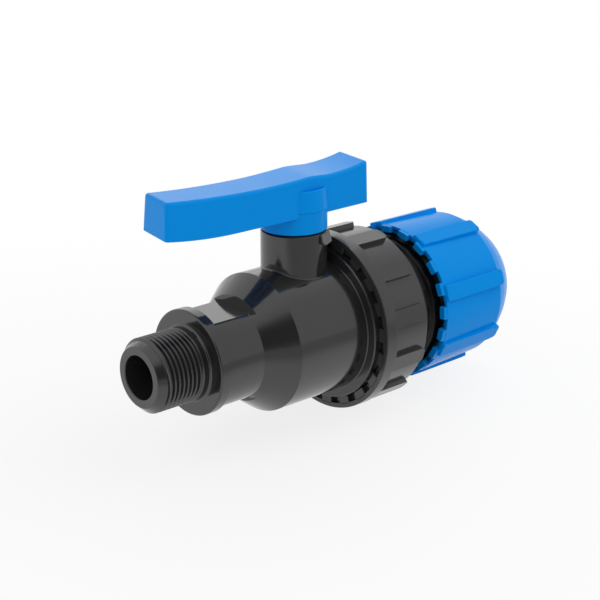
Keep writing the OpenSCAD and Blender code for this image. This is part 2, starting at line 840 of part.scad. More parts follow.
module pipe_seal() {
    color(black)
        oring_x(seal_x, seal_ring_r, seal_r);
}

// Ring that the grip ring pushes against the pipe seal
module thrust_ring() {
    inner = socket_r + 0.2;
    color(grey)
        turned([[thrust_x, inner], [thrust_x, chamber_r - groove_fit],
            [thrust_flange_x, chamber_r - groove_fit],
            [thrust_flange_x, thrust_flange_r], [thrust_end_x, thrust_flange_r], [thrust_end_x, inner]]);
}

// Split ring with a cone outside and biting edges inside
module grip_ring() {
    tooth = grip_len / (grip_teeth + 1);
    bites = [for (i = [0:grip_teeth - 1]) each
        [[grip_x + tooth * (i + 0.5), grip_in_r], [grip_x + tooth * (i + 0.6), grip_in_r + grip_bite]]];
    color(white)
    difference() {
        turned(concat([[grip_x, grip_in_r]], bites, [[grip_end_x, grip_in_r], [grip_end_x, grip_end_r],
            [grip_x, grip_front_r]]));
        rotate([grip_slot / 2, 0, 0])
            translate([grip_x - over, 0, 0])
                rotate([0, 90, 0])
                    linear_extrude(height = grip_len + 2 * over)
                        polygon([[0, 0], [-2 * grip_front_r, 0],
                            [-2 * grip_front_r * cos(grip_slot), 2 * grip_front_r * sin(grip_slot)]]);
    }
}

// Compression nut with front teeth, grip ribs and a sloping nose
module compression_nut() {
    rib_front_x = comp_front_x + shell_rib_start;
    rib_end_x = nose_x + shell_rib_over;
    rib_r = shell_front_r + shell_rib_h;
    tooth_x = comp_front_x - tooth_len;
    tooth_r = shell_front_r - touch;
    color(blue)
    union() {
        difference() {
            turned([[tooth_x, comp_counter_r], [tooth_x, tooth_r], [comp_front_x, tooth_r],
                [comp_front_x, shell_front_r], [nose_x, shell_back_r],
                [comp_end_x - 0.8, nose_r + 0.5], [comp_end_x, nose_r - 0.4], [comp_end_x, comp_mouth_r],
                [cone_end_x, comp_mouth_r], [cone_end_x, cone_r(cone_end_x)],
                [grip_x - 0.8, cone_r(grip_x - 0.8)], [mouth_x + 0.6, comp_bore_r],
                [comp_front_x + counter_len, comp_bore_r], [comp_front_x + counter_len, comp_counter_r]]);
            cross_bars(tooth_n, tooth_x - over, comp_front_x, tooth_gap, shell_front_r + over,
                tooth_phase);
        }
        intersection() {
            rib_bars(shell_ribs, rib_front_x, rib_end_x, shell_rib_w, shell_rib_corner,
                shell_back_r - 3 * over, rib_r + over, shell_rib_phase);
            turned([[rib_front_x, shell_front_r - over], [rib_end_x, shell_back_r - 2 * over],
                [rib_end_x, rib_r - shell_rib_fall], [rib_front_x, rib_r]]);
        }
    }
}

body();
ball();
seat_inlet();
seat_outlet();
seat_inlet_oring();
seat_outlet_oring();
seat_carrier();
carrier_oring();
stem();
stem_washer();
stem_oring_lower();
stem_oring_upper();
handle();
union_nut();
end_connector();
connector_oring();
pipe_seal();
thrust_ring();
grip_ring();
compression_nut();
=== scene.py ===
"""Looks of an inline plastic ball valve, modelled around its packed construction frame.

The flow axis is X, from the threaded spigot to the pipe socket, and the stem stands along Z. Every size is in
millimetres until a mesh is finished, when it is scaled to the frame's metres. The CAD nodes that have the
right shape keep it and get a finish; the visible mouldings are modelled again here, in the same places, with
their threads, fillets and rounded edges.
"""

import logging
import math
from abc import ABC, abstractmethod
from collections.abc import Callable
from dataclasses import dataclass
from enum import Enum
from typing import ClassVar

import bmesh
import bpy
from mathutils import Matrix, Vector


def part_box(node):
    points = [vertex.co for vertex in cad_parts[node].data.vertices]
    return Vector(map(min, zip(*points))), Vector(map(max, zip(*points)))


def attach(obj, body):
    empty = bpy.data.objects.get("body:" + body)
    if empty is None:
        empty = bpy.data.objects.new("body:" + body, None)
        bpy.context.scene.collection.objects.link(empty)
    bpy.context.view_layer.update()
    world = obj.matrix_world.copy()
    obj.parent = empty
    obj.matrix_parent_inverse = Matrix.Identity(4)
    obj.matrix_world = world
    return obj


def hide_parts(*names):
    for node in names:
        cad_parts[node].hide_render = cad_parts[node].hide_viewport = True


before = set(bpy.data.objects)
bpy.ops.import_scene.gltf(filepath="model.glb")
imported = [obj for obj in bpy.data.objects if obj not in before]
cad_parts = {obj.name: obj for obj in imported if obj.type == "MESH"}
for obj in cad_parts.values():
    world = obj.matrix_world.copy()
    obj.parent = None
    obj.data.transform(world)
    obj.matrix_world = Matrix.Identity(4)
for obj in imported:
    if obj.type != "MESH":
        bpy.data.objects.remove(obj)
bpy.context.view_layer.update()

LOG = logging.getLogger("valve")
MM = 0.001
FULL_TURN = 2 * math.pi
WHITE = (1, 1, 1, 1)
PALE = (0.86, 0.86, 0.86, 1)

TURN_STEPS = 192  # faces round a turned form
SHARP_ANGLE = 50.0  # an edge above it stays sharp, in degrees
FILLET_SHARE = 0.49  # most of a straight that a fillet may take
MERGE_DIST = 1e-4
CUT_DIST = 1e-5

OVERLAP = 0.4  # how far a form is sunk into what carries it
EDGE = 0.3  # usual rounding of a moulded edge
FACE_STEP = 12.7  # from the stem's axis back to the union's step
UNION_R = 29.2
TEETH = 20  # on each nut
TEETH_PHASE = 4.0
TOOTH_LEN = 1.8
TOOTH_GAP = 4.6
RIB_WIDTH = 6.3

CLOUD = (60.0, 3.0)  # cells for each metre, and octaves
GRAIN = (900.0, 4.0)
MOTTLE = 0.02  # how much the roughness wanders
RELIEF_DEPTH = 0.0002  # in metres
NOISE_SPAN = (0.2, 0.8)

Point = tuple[float, float]
Span = Point
Place = tuple[float, float, float]
Mesh = bmesh.types.BMesh
Vert = bmesh.types.BMVert
Socket = bpy.types.NodeSocket
Input = Socket | Vector | tuple[float, ...] | float


class Slot(Enum):
    """Material slots of the record that a piece takes its finish from."""

    BODY = "body_plastic"
    NUT = "nut_plastic"
    BLACK = "black_plastic"
    BLUE = "blue_plastic"
    BALL = "ball_plastic"
    SEAT = "seat_plastic"
    GRIP = "grip_plastic"
    SEAL = "seal_rubber"


Finishes = dict[Slot, bpy.types.Material]


@dataclass(frozen=True)
class Graph:
    """Node tree of a material or of the world, with short ways to add and join its nodes.

    Attributes:
        tree: The node tree.
    """

    tree: bpy.types.NodeTree

    def feed(self, node: bpy.types.Node, inputs: dict[str | int, Input]) -> None:
        """Link or set the inputs of a node.

        Args:
            node: The node.
            inputs: Sockets to link and constants to set, by input.
        """
        for key, value in inputs.items():
            if isinstance(value, Socket):
                self.tree.links.new(value, node.inputs[key])
            else:
                node.inputs[key].default_value = value

    def add(self, kind: str, inputs: dict[str | int, Input] | None = None, **settings: str) -> bpy.types.Node:
        """Add a node.

        Args:
            kind: Its type, without the prefix that shader nodes share.
            inputs: What its inputs take.
            **settings: The node's own settings.

        Returns:
            The new node.
        """
        node = self.tree.nodes.new(f"ShaderNode{kind}")
        for key, value in settings.items():
            setattr(node, key, value)
        self.feed(node, inputs or {})
        return node

    def combined(self, operation: str, first: Socket, *others: Socket) -> Socket:
        """Combine values, one after the other.

        Args:
            operation: What is done with two values.
            first: Socket that gives the first value.
            *others: Sockets that give the others.

        Returns:
            The socket that gives the result.
        """
        for other in others:
            first = self.add("Math", {0: first, 1: other}, operation=operation).outputs["Value"]
        return first

    def mapped(self, source: Socket, span: Span, target: Span, curve: str = "LINEAR") -> Socket:
        """Map a value from one span onto another, and hold it at the ends.

        Args:
            source: Socket that gives the value.
            span: Span that the value is read over.
            target: Values at the two ends of that span.
            curve: Kind of interpolation.

        Returns:
            The socket that gives the result.
        """
        names = ("From Min", "From Max", "To Min", "To Max")
        return self.add("MapRange", {"Value": source, **dict(zip(names, (*span, *target)))},
                        interpolation_type=curve).outputs["Result"]

    def dimmed(self, way: Place, span: Span, level: float, source: str = "Generated") -> Socket:
        """Give a level that falls on one side of the studio, where it has no white wall.

        Args:
            way: Direction of the dim side.
            span: Places along it at which the fall starts and ends.
            level: Level in the dim side, where the rest has 1.
            source: Coordinates that the place is read from.

        Returns:
            The socket that gives the level.
        """
        place = self.add("TexCoord").outputs[source]
        along = self.add("VectorMath", {0: place, 1: Vector(way).normalized()}, operation="DOT_PRODUCT")
        return self.mapped(along.outputs["Value"], span, (1.0, level), "SMOOTHSTEP")

    def seen(self) -> Socket:
        """Tell the rays of the camera, of reflections and through glass from the rest.

        Returns:
            The socket that gives 1 on such a ray.
        """
        path = self.add("LightPath").outputs
        kinds = ("Is Camera Ray", "Is Glossy Ray", "Is Transmission Ray")
        return self.combined("MAXIMUM", *(path[kind] for kind in kinds))

    def white(self, kind: str, level: Socket) -> Socket:
        """Add a white light, which the camera sees at full strength.

        Args:
            kind: Type of the light's node.
            level: Socket that gives its strength for other rays.

        Returns:
            The light's shader.
        """
        camera = self.add("LightPath").outputs["Is Camera Ray"]
        strength = self.combined("MAXIMUM", level, camera)
        return self.add(kind, {"Color": WHITE, "Strength": strength}).outputs[0]

    def surface(self, output: str, share: Socket, one: Socket, two: Socket) -> None:
        """Blend two shaders into the tree's surface.

        Args:
            output: Name of the tree's output node.
            share: Socket that gives the second shader's share.
            one: The first shader.
            two: The second shader.
        """
        mix = self.add("MixShader", {"Fac": share, 1: one, 2: two})
        self.feed(self.tree.nodes[output], {"Surface": mix.outputs["Shader"]})


@dataclass(frozen=True)
class Finish:
    """A moulded finish: its colour, its gloss and its fine relief.

    Attributes:
        name: Name of the material.
        color: Linear base colour.
        roughness: Mean roughness of the surface.
        tint: How much the colour wanders.
        relief: Strength of the fine relief.
        specular: Reflectance at normal incidence, as a specular level.
    """

    name: str
    color: tuple[float, float, float]
    roughness: float
    tint: float = 0.04
    relief: float = 0.04
    specular: float = 0.5

    def material(self) -> bpy.types.Material:
        """Build the node material.

        Returns:
            The new material.
        """
        made = bpy.data.materials.new(self.name)
        made.use_nodes = True
        graph = Graph(made.node_tree)
        place = graph.add("TexCoord").outputs["Object"]
        cloud, fine = (graph.add("TexNoise", {"Vector": place, "Scale": cells, "Detail": octaves}).outputs[0]
                       for cells, octaves in (CLOUD, GRAIN))
        low, high = ((*(c * k for c in self.color), 1) for k in (1 - self.tint, 1 + self.tint))
        color = graph.add("Mix", {"A": low, "B": high, "Factor": cloud}, data_type="RGBA")
        bump = graph.add("Bump", {"Strength": self.relief, "Distance": RELIEF_DEPTH, "Height": fine})
        graph.feed(made.node_tree.nodes["Principled BSDF"], {
            "Base Color": color.outputs["Result"], "Specular IOR Level": self.specular,
            "Roughness": graph.mapped(cloud, NOISE_SPAN, (self.roughness - MOTTLE, self.roughness + MOTTLE)),
            "Normal": bump.outputs["Normal"]})
        return made


FINISHES = {
    Slot.BODY: Finish("charcoal_plastic", (0.018, 0.018, 0.018), 0.12, specular=0.8),
    Slot.NUT: Finish("grey_plastic", (0.03, 0.03, 0.03), 0.17, specular=0.7),
    Slot.BLACK: Finish("black_plastic", (0.0025, 0.0025, 0.003), 0.35, specular=0.25),
    Slot.BLUE: Finish("blue_plastic", (0.0, 0.29, 0.84), 0.24, tint=0.02, specular=0.06),
    Slot.BALL: Finish("ball_plastic", (0.02, 0.02, 0.021), 0.12, relief=0.01),
    Slot.SEAT: Finish("seat_plastic", (0.8, 0.8, 0.78), 0.4),
    Slot.GRIP: Finish("acetal", (0.75, 0.75, 0.72), 0.35),
    Slot.SEAL: Finish("seal_rubber", (0.012, 0.012, 0.012), 0.6),
}


@dataclass(frozen=True)
class Corner:
    """Corner of a turned outline.

    Attributes:
        x: Place along the flow axis.
        r: Radius.
        fillet: Radius that rounds the corner.
    """

    x: float
    r: float
    fillet: float = 0.0


def rounded(corners: list[Corner], steps: int = 5) -> list[Point]:
    """Round the corners of a closed outline.

    Args:
        corners: The outline's corners, in order.
        steps: Number of steps in a corner.

    Returns:
        The points of the rounded outline.
    """
    points: list[Point] = []
    for i, corner in enumerate(corners):
        here = Vector((corner.x, corner.r))
        if corner.fillet <= 0:
            points.append((here.x, here.y))
            continue
        to_back, to_ahead = (Vector((other.x, other.r)) - here
                             for other in (corners[i - 1], corners[(i + 1) % len(corners)]))
        half = to_back.angle(to_ahead) / 2
        reach = min(corner.fillet / math.tan(half),
                    *(FILLET_SHARE * way.length for way in (to_back, to_ahead)))
        radius = reach * math.tan(half)
        back, ahead = to_back.normalized(), to_ahead.normalized()
        centre = here + (back + ahead).normalized() * radius / math.sin(half)
        start, end = here + back * reach - centre, here + ahead * reach - centre
        turn = start.angle(end)
        for k in range(steps + 1):
            share = k / steps
            spoke = (start * math.sin((1 - share) * turn) + end * math.sin(share * turn)) / math.sin(turn)
            points.append(tuple(centre + spoke))
    return points


def bar_plan(span: Span, width: float, ends: Span) -> list[Point]:
    """Give the rounded plan of a bar.

    Args:
        span: Places of the bar's two ends.
        width: Its width.
        ends: Radii that round its corners at the two ends.

    Returns:
        The points of the plan.
    """
    (first, last), half = span, width / 2
    return rounded([Corner(first, -half, ends[0]), Corner(last, -half, ends[1]),
                    Corner(last, half, ends[1]), Corner(first, half, ends[0])], steps=6)


def turn_outline(mesh: Mesh, points: list[Point]) -> list[Vert]:
    """Spin a closed outline about the flow axis.

    Args:
        mesh: Mesh that takes the form.
        points: Outline as (x, radius).

    Returns:
        The new vertices.
    """
    before = set(mesh.verts)
    verts = [mesh.verts.new((x, 0.0, r)) for x, r in points]
    edges = [mesh.edges.new((verts[i - 1], vert)) for i, vert in enumerate(verts)]
    bmesh.ops.spin(mesh, geom=verts + edges, cent=(0, 0, 0), axis=(1, 0, 0), angle=FULL_TURN,
                   steps=TURN_STEPS, use_merge=True, use_duplicate=False)
    return [v for v in mesh.verts if v not in before]


def groove(pitches: float, flat: float, flank: float) -> float:
    """Give the depth of a thread's groove.

    Args:
        pitches: Place along the thread, in pitches.
        flat: Share of half the pitch that is flat at the crest.
        flank: Share of half the pitch that the flank takes.

    Returns:
        The depth, from 0 at the crest to 1 at the root.
    """
    return min(max((abs(2 * (pitches % 1.0) - 1) - flat) / flank, 0.0), 1.0)


def reshape(verts: list[Vert], new_radius: Callable[[float, float, float], float]) -> None:
    """Move vertices to other radii from the flow axis.

    Args:
        verts: The vertices.
        new_radius: Gives the new radius from the place along the axis, the angle in turns, which is none on
            the viewer's side and a quarter on top, and the radius.
    """
    for vert in verts:
        x, y, z = vert.co
        radius = math.hypot(y, z)
        scale = new_radius(x, math.atan2(z, -y) / FULL_TURN, radius) / radius
        vert.co = Vector((x, y * scale, z * scale))


@dataclass(frozen=True)
class Bar:
    """Bar along the flow axis that stands out from a radius, with rounded ends and a rounded upper edge.

    Attributes:
        span: Places of its two ends.
        width: Its width.
        low: Radius at which it starts, inside what carries it.
        top: Gives the radius of its top at a place along the axis.
        ends: Radii that round its plan at the two ends.
        edge: Radius that rounds its upper edge.
        lengths: Number of lengths that it is cut into.
    """

    span: Span
    width: float
    low: float
    top: Callable[[float], float]
    ends: Span
    edge: float
    lengths: int = 10

    def _flat(self, mesh: Mesh) -> list[Vert]:
        """Build the bar flat, with its radii as heights.

        Args:
            mesh: Mesh that takes the bar.

        Returns:
            The bar's vertices.
        """
        before = set(mesh.verts)
        first, last = self.span
        plan = bar_plan(self.span, self.width, self.ends)
        mesh.faces.new([mesh.verts.new((x, y, self.low)) for x, y in plan])
        for i in range(1, self.lengths):
            part = [v for v in mesh.verts if v not in before]
            faces = {f for v in part for f in v.link_faces}
            edges = {e for f in faces for e in f.edges}
            cut = first + (last - first) * i / self.lengths
            bmesh.ops.bisect_plane(mesh, geom=part + list(edges) + list(faces), dist=CUT_DIST,
                                   plane_co=(cut, 0, 0), plane_no=(1, 0, 0))
        faces = list({f for v in mesh.verts if v not in before for f in v.link_faces})
        raised = bmesh.ops.extrude_face_region(mesh, geom=faces)["geom"]
        lifted = {g for g in raised if isinstance(g, Vert)}
        for vert in lifted:
            vert.co.z = self.top(vert.co.x)
        if self.edge > 0:
            rim = [e for e in {e for v in lifted for e in v.link_edges} if lifted.issuperset(e.verts) and
                   any(len(f.verts) == 4 and not lifted.issuperset(f.verts) for f in e.link_faces)]
            bmesh.ops.bevel(mesh, geom=rim, offset=self.edge, offset_type="OFFSET", segments=3, profile=0.5,
                            affect="EDGES", material=-1, clamp_overlap=True)
        return [v for v in mesh.verts if v not in before]

    def spread(self, mesh: Mesh, count: int, phase: float) -> None:
        """Stand equal bars round the flow axis.

        A vertex of the flat bar at (x, y, z) goes to radius z, y millimetres round from the bar's middle.

        Args:
            mesh: Mesh that takes the bars.
            count: Number of bars.
            phase: Angle of the first bar's middle, in degrees.
        """
        for i in range(count):
            middle = math.radians(phase + i * 360 / count)
            for vert in self._flat(mesh):
                x, along, radius = vert.co
                here = middle + along / radius
                vert.co = Vector((x, -radius * math.cos(here), radius * math.sin(here)))


@dataclass
class Layout:
    """Places along the flow axis that several pieces share, in millimetres.

    Attributes:
        stem_x: The stem's axis.
        face_x: Step from the barrel up to the union thread.
        body_end: Rear face of the body.
        conn_x: Front face of the connector.
        nut_front: Front face of the union nut.
        nut_back: Rear face of the union nut.
        mouth_x: Rear face of the connector.
        comp_front: Front face of the compression nut, behind its teeth.
        comp_end: Rear face of the compression nut.
    """

    stem_x: float
    face_x: float
    body_end: float
    conn_x: float
    nut_front: float
    nut_back: float
    mouth_x: float
    comp_front: float
    comp_end: float

    @classmethod
    def from_frame(cls) -> "Layout":
        """Read the places from the boxes of the CAD nodes.

        Returns:
            The places as the frame has them.
        """
        nodes = ("body", "stem", "union_nut", "end_connector", "compression_nut")
        low, high = ({node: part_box(node)[i].x / MM for node in nodes} for i in (0, 1))
        stem = (low["stem"] + high["stem"]) / 2
        return cls(stem_x=stem, face_x=stem + FACE_STEP, body_end=high["body"], conn_x=low["end_connector"],
                   nut_front=low["union_nut"], nut_back=high["union_nut"], mouth_x=high["end_connector"],
                   comp_front=low["compression_nut"] + TOOTH_LEN, comp_end=high["compression_nut"])


@dataclass
class Moulding(ABC):
    """A visible moulding: one mesh object on one body, in place of the CAD nodes that it stands for.

    Attributes:
        name: Name of the object.
        body: CAD body that it rides on.
        slot: Material slot that it takes its finish from.
        replaces: CAD nodes that it stands for.
        layout: Places along the flow axis that the mouldings share.
    """

    name: ClassVar[str]
    body: ClassVar[str]
    slot: ClassVar[Slot]
    replaces: ClassVar[tuple[str, ...]]

    layout: Layout

    @abstractmethod
    def shape(self, mesh: Mesh) -> None:
        """Add the moulding's form to its mesh, in millimetres.

        Args:
            mesh: Mesh of the moulding.
        """

    def build(self, finishes: Finishes) -> bpy.types.Object:
        """Turn the form into an object on its body.

        Args:
            finishes: The materials by slot.

        Returns:
            The new object.
        """
        mesh = bmesh.new()
        self.shape(mesh)
        bmesh.ops.remove_doubles(mesh, verts=mesh.verts, dist=MERGE_DIST)
        bmesh.ops.dissolve_degenerate(mesh, edges=mesh.edges, dist=CUT_DIST)
        bmesh.ops.recalc_face_normals(mesh, faces=mesh.faces)
        bmesh.ops.scale(mesh, vec=(MM, MM, MM), verts=mesh.verts)
        data = bpy.data.meshes.new(self.name)
        mesh.to_mesh(data)
        mesh.free()
        data.shade_smooth()
        data.set_sharp_from_angle(angle=math.radians(SHARP_ANGLE))
        made = bpy.data.objects.new(self.name, data)
        bpy.context.scene.collection.objects.link(made)
        data.materials.append(finishes[self.slot])
        made.modifiers.new("face_weights", "WEIGHTED_NORMAL").keep_sharp = True
        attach(made, self.body)
        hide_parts(*self.replaces)
        LOG.info("%s: %d faces on %s", self.name, len(data.polygons), self.body)
        return made


@dataclass
class BodyMoulding(Moulding):
    """The body: spigot with its thread, collar, wrench zone, shoulder, barrel, neck and union thread.

    Attributes:
        thread_r: Radius over the crests of the pipe thread.
        thread_root: Radius below which no groove is cut.
        thread_depth: Depth of the pipe thread.
        thread_pitch: Pitch of the pipe thread.
        thread_crest: Share of half the pitch that is flat at crest and root.
        thread_soft: Share of an S-curve in the flank.
        thread_x: Ends of the thread's rings of faces.
        thread_steps: Number of steps between those rings.
        thread_end: Place where the groove runs out.
        groove_x: Place of one groove at the angle below.
        groove_angle: That angle, in degrees.
        spigot_len: Length of the spigot.
        tip: Rear end of the cone at the tip, and its front radius.
        inlet: Where the inlet starts to widen, and its radius.
        collar: Length and radius of the collar.
        wrench_r: Radius of the wrench zone.
        wrench_end: Rear end of the wrench zone.
        flat_half: Half the width across the wrench flats.
        flats_x: Ends of the wrench flats.
        barrel_r: Radius of the barrel.
        rim_to_stem: From the shoulder's rear rim to the stem's axis.
        chamber: Corners of the chamber inside, from its rear forwards.
        neck_r: Radius of the neck.
        neck_top: Height of the neck's top.
        neck_foot: Radius of the fillet at the neck's foot.
        neck_bore: Lower end of the stem's bore, and its radius.
        lug_z: Heights of the stop lug's lower and upper end.
        lug_width: Width of the lug.
        lug_angle: Angle of the lug round the neck, in degrees.
        lug_slope: How much the lug widens for each millimetre down.
    """

    name, body, slot, replaces = "body_moulding", "valve_body", Slot.BODY, ("body",)

    thread_r: float = 13.22
    thread_root: float = 10.9
    thread_depth: float = 1.16
    thread_pitch: float = 1.814
    thread_crest: float = 0.12
    thread_soft: float = 0.35
    thread_x: Span = (-17.8, -2.65)
    thread_steps: int = 170
    thread_end: float = -3.3
    groove_x: float = -17.82
    groove_angle: float = 40.0
    spigot_len: float = 20.7
    tip: Point = (-18.0, 10.72)
    inlet: Point = (4.0, 7.8)
    collar: Point = (4.0, 19.1)
    wrench_r: float = 18.05
    wrench_end: float = 20.0
    flat_half: float = 15.55
    flats_x: Span = (4.7, 22.0)
    barrel_r: float = 25.6
    rim_to_stem: float = 19.5
    chamber: tuple[Point, ...] = ((29.0, 20.5), (29.0, 16.6), (35.5, 16.6), (35.5, 14.1), (33.0, 14.1),
                                  (33.0, 10.2), (29.5, 10.2))
    neck_r: float = 12.13
    neck_top: float = 38.7
    neck_foot: float = 0.6
    neck_bore: Point = (21.0, 6.56)
    lug_z: Span = (34.4, 38.6)
    lug_width: float = 8.4
    lug_angle: float = -63.0
    lug_slope: float = 0.3

    def shape(self, mesh: Mesh) -> None:
        """Turn the body, then cut the thread and the flats and add the neck and the lug.

        Args:
            mesh: Mesh of the body.
        """
        reshape(turn_outline(mesh, self._outline()), self._threaded)
        self._cut_flats(mesh)
        self._add_neck(mesh)
        self._add_lug(mesh)

    def _outline(self) -> list[Point]:
        """Give the outline of the turned part of the body.

        Returns:
            The points of the closed outline.
        """
        face, end = self.layout.face_x, self.layout.body_end
        front, (start, stop), steps = -self.spigot_len, self.thread_x, self.thread_steps
        thread = [Corner(start + (stop - start) * i / steps, self.thread_r) for i in range(steps + 1)]
        rim, (flat_start, flat_end) = self.layout.stem_x - self.rim_to_stem, self.flats_x
        slope = (self.barrel_r - self.wrench_r) / (rim - self.wrench_end)
        shoulder = [Corner(x, self.wrench_r + slope * (x - self.wrench_end))
                    for x in (flat_end - 0.02, flat_end)]
        outside = [Corner(front, self.inlet[1], 0.4), Corner(front, self.tip[1], 0.5),
                   Corner(self.tip[0], self.thread_r, EDGE), *thread, Corner(0, self.thread_r, 1.0),
                   Corner(0, self.collar[1], 0.75), Corner(self.collar[0], self.collar[1] + 0.02, 0.12),
                   Corner(flat_start, self.wrench_r, EDGE), Corner(flat_start + 0.05, self.wrench_r),
                   Corner(self.wrench_end, self.wrench_r, EDGE), *shoulder, Corner(rim, self.barrel_r, 0.6),
                   Corner(face, self.barrel_r + 0.15, 0.45), Corner(face + 0.25, UNION_R - 0.3, 0.35),
                   Corner(face + 0.65, UNION_R, 0.2)]
        inside = [Corner(end, UNION_R, 0.6), Corner(end, self.chamber[0][1], 0.2),
                  *(Corner(x, r) for x, r in self.chamber), Corner(*self.inlet)]
        return rounded(outside + inside)

    def _threaded(self, x: float, turns: float, radius: float) -> float:
        """Sink the pipe thread's groove into the spigot.

        Args:
            x: Place along the flow axis.
            turns: Angle round it, in turns.
            radius: Radius there.

        Returns:
            The radius in the groove.
        """
        if x > self.thread_end + 1 or radius < self.thread_root:
            return radius
        pitches = (x - self.groove_x) / self.thread_pitch + turns - self.groove_angle / 360
        flank = groove(pitches, self.thread_crest, 1 - 2 * self.thread_crest)
        smooth = flank * flank * (3 - 2 * flank)
        depth = self.thread_depth * (smooth * self.thread_soft + flank * (1 - self.thread_soft))
        return min(radius, self.thread_r - depth * min(max(self.thread_end + 0.6 - x, 0.0), 1.0))

    def _cut_flats(self, mesh: Mesh) -> None:
        """Press the two wrench flats into the wrench zone.

        Args:
            mesh: Mesh of the body.
        """
        (low, high), skin = self.flats_x, self.wrench_r - 0.2
        for side in (1, -1):
            zone = [f for f in mesh.faces if all(low - 0.1 < v.co.x < high + 0.01 and v.co.yz.length > skin
                                                 for v in f.verts)]
            geom = list({v for f in zone for v in f.verts}) + list({e for f in zone for e in f.edges}) + zone
            bmesh.ops.bisect_plane(mesh, geom=geom, dist=CUT_DIST, plane_co=(0, 0, side * self.flat_half),
                                   plane_no=(0, 0, 1))
        for vert in mesh.verts:
            if low - 0.001 < vert.co.x < high - 0.01 and abs(vert.co.z) > self.flat_half and \
                    vert.co.yz.length > skin:
                vert.co.z = math.copysign(self.flat_half, vert.co.z)

    def _add_neck(self, mesh: Mesh) -> None:
        """Raise the neck out of the barrel, with a fillet at its foot, and sink the stem's bore into it.

        Args:
            mesh: Mesh of the body.
        """
        foot, neck, top, (floor, bore) = self.neck_foot, self.neck_r, self.neck_top, self.neck_bore
        sweep = [math.pi / 2 * k / 8 for k in range(9)]
        on_barrel = [(neck + foot, -0.15)] + [(neck + foot * (1 - math.sin(t)), foot * (1 - math.cos(t)))
                                              for t in sweep]
        above = [(neck, top - 0.35), (neck - 0.1, top - 0.1), (neck - 0.35, top), (bore + 0.2, top),
                 (bore, top - 0.3), (bore, floor)]
        axis = Vector((self.layout.stem_x, 0, 0))
        ring = bmesh.ops.create_circle(mesh, segments=TURN_STEPS, radius=1.0,
                                       matrix=Matrix.Translation(axis))["verts"]
        edges = list({e for v in ring for e in v.link_edges})
        for count, (radius, height) in enumerate(on_barrel + above):
            if count:
                made = bmesh.ops.extrude_edge_only(mesh, edges=edges)["geom"]
                ring = [g for g in made if isinstance(g, Vert)]
                edges = [g for g in made if isinstance(g, bmesh.types.BMEdge)]
            for vert in ring:
                spoke = (vert.co - axis).xy.normalized() * radius
                skin = math.sqrt(self.barrel_r ** 2 - spoke.y ** 2) if count < len(on_barrel) else 0.0
                vert.co = axis + Vector((spoke.x, spoke.y, skin + height))

    def _add_lug(self, mesh: Mesh) -> None:
        """Set the stop lug's root against the neck.

        Args:
            mesh: Mesh of the body.
        """
        before = set(mesh.verts)
        plan = bar_plan(self.lug_z, self.lug_width, (1.8, 0.8))
        face = mesh.faces.new([mesh.verts.new((z, along, self.neck_r - 0.5)) for z, along in plan])
        raised = bmesh.ops.extrude_face_region(mesh, geom=[face])["geom"]
        lifted = {g for g in raised if isinstance(g, Vert)}
        for vert in lifted:
            vert.co.z = self.neck_r + OVERLAP + (self.neck_top - vert.co.x) * self.lug_slope
        rim = {e for v in lifted for e in v.link_edges if lifted.issuperset(e.verts)}
        bmesh.ops.bevel(mesh, geom=list(rim), offset=0.4, segments=4, profile=0.5, affect="EDGES",
                        material=-1)
        middle = math.radians(self.lug_angle)
        for vert in [v for v in mesh.verts if v not in before]:
            height, along, radius = vert.co
            here = middle + along / self.neck_r
            vert.co = Vector((self.layout.stem_x + radius * math.cos(here), radius * math.sin(here), height))


@dataclass
class UnionNut(Moulding):
    """The grey ring nut, with its band, grip ribs and castellated front face.

    Attributes:
        bore_r: Radius of the nut's bore.
        band: Length of the front band, and its radius, which the ribs have too.
        base_r: Radius between the ribs.
        lip: Thickness of the rear lip, and the radius of its opening.
        tooth_wall: Radial width of the teeth.
        ribs: Number of ribs.
        rib_phase: Angle of one rib's middle, in degrees.
        rib_corner: Radius that rounds the ribs' rear corners.
        rib_stop: From the ribs' rear ends to the rear face.
    """

    name, body, slot, replaces = "union_ring_nut", "union_ring", Slot.NUT, ("union_nut",)

    bore_r: float = 29.5
    band: Point = (5.1, 34.0)
    base_r: float = 32.1
    lip: Point = (3.4, 28.2)
    tooth_wall: float = 2.5
    ribs: int = 12
    rib_phase: float = 13.0
    rib_corner: float = 1.8
    rib_stop: float = 1.9

    def shape(self, mesh: Mesh) -> None:
        """Turn the ring, then add the teeth and the ribs.

        Args:
            mesh: Mesh of the nut.
        """
        front, back = self.layout.nut_front, self.layout.nut_back
        floor, rim = front + TOOTH_LEN, self.bore_r + self.tooth_wall
        lip, lip_r = back - self.lip[0], self.lip[1]
        band_end, band_r = front + self.band[0], self.band[1]
        turn_outline(mesh, rounded([
            Corner(floor, self.bore_r), Corner(floor, rim), Corner(front, rim, 0.15),
            Corner(front, band_r - 0.1, EDGE), Corner(band_end, band_r, 0.25),
            Corner(band_end + 0.15, self.base_r + 0.1, EDGE), Corner(back, self.base_r - 0.1, 0.35),
            Corner(back, lip_r, 0.2), Corner(lip, lip_r), Corner(lip, self.bore_r)]))
        pitch = FULL_TURN * (self.bore_r + self.tooth_wall / 2) / TEETH
        Bar((front, floor + OVERLAP), pitch - TOOTH_GAP, self.bore_r, lambda x: rim + OVERLAP, (0.25, 0.05),
            0.0, lengths=1).spread(mesh, TEETH, TEETH_PHASE)
        Bar((band_end - OVERLAP, back - self.rib_stop), RIB_WIDTH, self.base_r - OVERLAP,
            lambda x: band_r - 0.1, (0.1, self.rib_corner), 0.35).spread(mesh, self.ribs, self.rib_phase)


